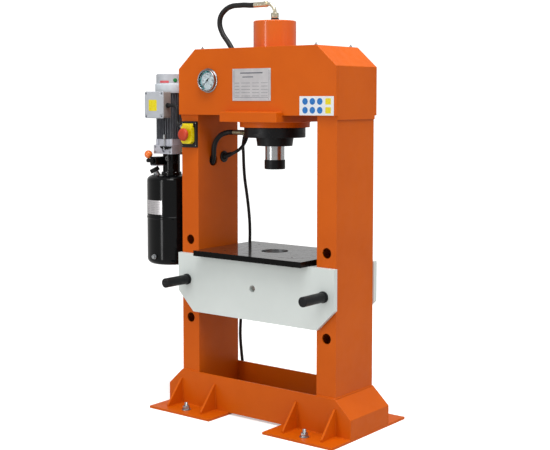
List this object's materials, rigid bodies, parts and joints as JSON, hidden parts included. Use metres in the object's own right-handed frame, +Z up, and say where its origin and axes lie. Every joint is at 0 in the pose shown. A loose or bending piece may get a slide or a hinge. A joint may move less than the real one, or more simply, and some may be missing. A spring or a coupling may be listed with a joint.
{
  "type": "hydraulic shop press",
  "caption": "Floor-standing H-frame hydraulic shop press with a ram cylinder in the head, a pin-held bolster and table, and an electric power unit on its side.",
  "frame": {"origin": "floor level, at the middle of the outline of the press without its mains lead", "axes": "+Z up along the ram axis, -Y to the operator's side, +X to the operator's right, seen from the front"},
  "size_m": [1.1325, 0.626, 1.7241],
  "materials": {
    "orange_paint": "semi-gloss orange paint",
    "grey_paint": "semi-gloss pale grey paint",
    "black_steel": "blacked steel",
    "black_paint": "gloss black paint",
    "zinc_steel": "zinc plated",
    "chrome": "polished hard chrome",
    "bronze": "turned bronze",
    "brass_fitting": "yellow zinc plated",
    "piston_steel": "ground steel",
    "cast_aluminium": "machined aluminium",
    "plate_aluminium": "brushed plate",
    "motor_grey": "grey paint on cast fins",
    "hose_rubber": "matt black rubber",
    "black_plastic": "matt black",
    "pale_plastic": "light grey moulded plastic",
    "yellow_plastic": "gloss yellow",
    "red_plastic": "satin red",
    "green_plastic": "gloss green",
    "knob_orange": "gloss orange ball knob",
    "dial_white": "matt white dial",
    "needle_black": "matt black",
    "sign_white": "smooth white plate",
    "sign_blue": "smooth blue print",
    "label_red": "smooth red print",
    "gauge_glass": "clear lens"
  },
  "bodies": {
    "frame": {"upright_left": "orange_paint", "upright_right": "orange_paint", "head_front_plate": "orange_paint", "head_back_plate": "orange_paint", "head_top_plate": "orange_paint", "head_side_plates": "orange_paint", "mount_block": "orange_paint", "base_front_plate": "orange_paint", "base_back_plate": "orange_paint", "base_end_plates": "orange_paint", "foot_plates": "orange_paint", "gussets": "orange_paint", "anchor_bolts": "zinc_steel", "bolster_front_plate": "grey_paint", "bolster_back_plate": "grey_paint", "bolster_ribs": "grey_paint", "table_plate": "black_steel", "cylinder_barrel": "orange_paint", "cylinder_flange": "orange_paint", "gland_ring": "black_steel", "gland_bolts": "black_steel", "rod_seals": "bronze", "top_fitting": "brass_fitting", "top_hose": "hose_rubber", "ring_fitting": "brass_fitting", "ring_hose": "hose_rubber", "gauge_case": "chrome", "gauge_dial": "dial_white", "name_plate": "plate_aluminium", "sign_plate": "sign_white", "switch_base": "black_plastic", "oil_tank": "black_paint", "tank_fittings": "zinc_steel", "unit_bracket": "black_paint", "valve_block": "cast_aluminium", "pump_body": "black_paint", "lever_valve": "black_paint", "motor_flange": "cast_aluminium", "motor_housing": "motor_grey", "fan_cover": "pale_plastic", "terminal_box": "pale_plastic", "control_cable": "hose_rubber", "lead_gland": "hose_rubber", "lead_tube": "hose_rubber", "lead_coil": "hose_rubber", "lead_plug": "hose_rubber"},
    "ram": {"piston_rod": "chrome", "piston": "piston_steel", "ram_nose": "black_steel"},
    "pin_left": {"pin_left": "black_steel"},
    "pin_right": {"pin_right": "black_steel"},
    "needle": {"gauge_needle": "needle_black"},
    "flap": {"switch_cover": "yellow_plastic"},
    "stop_button": {"stop_button": "red_plastic"},
    "start_button": {"start_button": "green_plastic"},
    "lever": {"valve_lever": "knob_orange"},
    "cap": {"filler_cap": "black_plastic"},
    "rotor": {"motor_rotor": "piston_steel", "drive_gear": "piston_steel"},
    "driven_gear": {"driven_gear": "piston_steel"}
  },
  "joints": [
    {"name": "ram_slide", "type": "slide", "parent": "frame", "child": "ram", "axis": [0, 0, -1], "range_m": [-0.05, 0.25]},
    {"name": "pin_left_slide", "type": "slide", "parent": "frame", "child": "pin_left", "axis": [0, -1, 0], "range_m": [0, 0.46]},
    {"name": "pin_right_slide", "type": "slide", "parent": "frame", "child": "pin_right", "axis": [0, -1, 0], "range_m": [0, 0.46]},
    {"name": "needle_turn", "type": "hinge", "parent": "frame", "child": "needle", "pos_m": [-0.14775, -0.137, 1.397], "axis": [0, 1, 0], "range_deg": [0, 270], "stiffness_Nm_per_rad": 0.002, "springref_deg": -28.65},
    {"name": "flap_hinge", "type": "hinge", "parent": "frame", "child": "flap", "pos_m": [-0.25875, -0.1335, 1.214], "axis": [-1, 0, 0], "range_deg": [0, 100]},
    {"name": "stop_press", "type": "slide", "parent": "flap", "child": "stop_button", "axis": [0, 1, 0], "range_m": [0, 0.005], "stiffness_N_per_m": 800},
    {"name": "start_press", "type": "slide", "parent": "frame", "child": "start_button", "axis": [0, 1, 0], "range_m": [0, 0.003], "stiffness_N_per_m": 800},
    {"name": "lever_turn", "type": "hinge", "parent": "frame", "child": "lever", "pos_m": [-0.52275, -0.103, 1.052], "axis": [1, 0, 0], "range_deg": [-15, 15], "stiffness_Nm_per_rad": 1.5},
    {"name": "cap_turn", "type": "hinge", "parent": "frame", "child": "cap", "pos_m": [-0.50675, -0.065, 0.988], "axis": [-0.3699, -0.289, 0.8829], "range_deg": [0, 90]},
    {"name": "rotor_spin", "type": "hinge", "parent": "frame", "child": "rotor", "pos_m": [-0.45675, -0.027, 1.1], "axis": [0, 0, 1], "continuous": true},
    {"name": "driven_gear_spin", "type": "hinge", "parent": "frame", "child": "driven_gear", "pos_m": [-0.45675, -0.0058, 1.031], "axis": [0, 0, 1], "continuous": true}
  ],
  "couplings": [
    {"joint": "driven_gear_spin", "follows": "rotor_spin", "ratio": -1}
  ]
}
